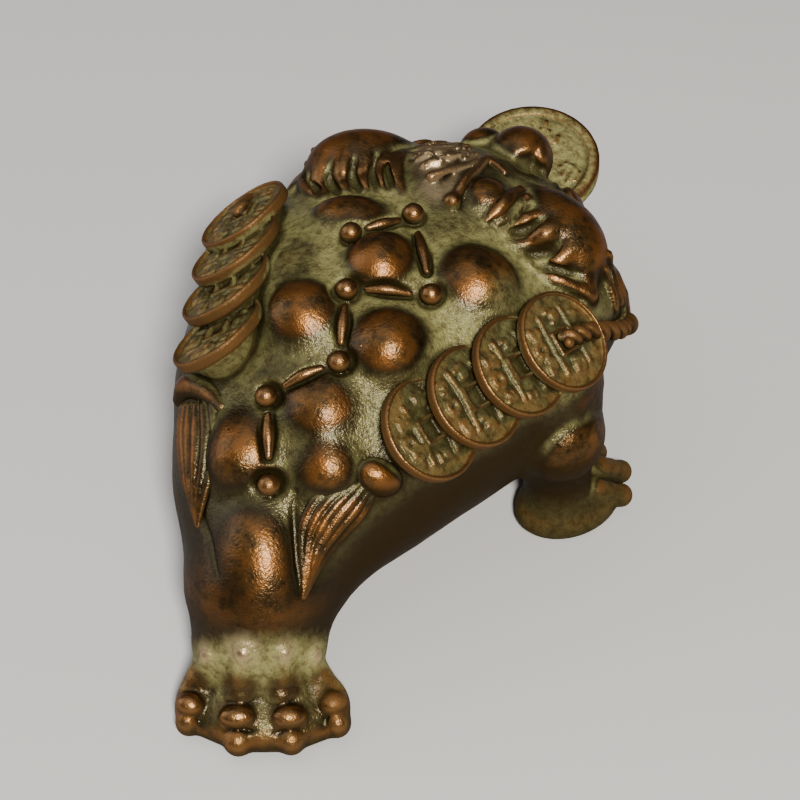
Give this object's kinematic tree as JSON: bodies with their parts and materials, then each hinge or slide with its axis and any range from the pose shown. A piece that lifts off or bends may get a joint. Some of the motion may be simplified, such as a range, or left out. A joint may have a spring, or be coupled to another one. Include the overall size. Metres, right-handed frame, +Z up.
{
  "type": "three-legged toad figurine",
  "caption": "Small cast bronze toad crouching on three legs, with a coin in its mouth, strings of coins along its back, warts and a linked row of beads.",
  "frame": {"origin": "on the ground, below the middle of the figure's bounding box", "axes": "+Z up; the toad looks along -Y and its hind foot points along +Y; its right side is at -X"},
  "size_m": [0.0434, 0.0682, 0.0296],
  "materials": {
    "bronze": "aged brown bronze, polished on the high points, olive green patina in the hollows"
  },
  "bodies": {
    "root": {"toad": "bronze"}
  },
  "joints": []
}
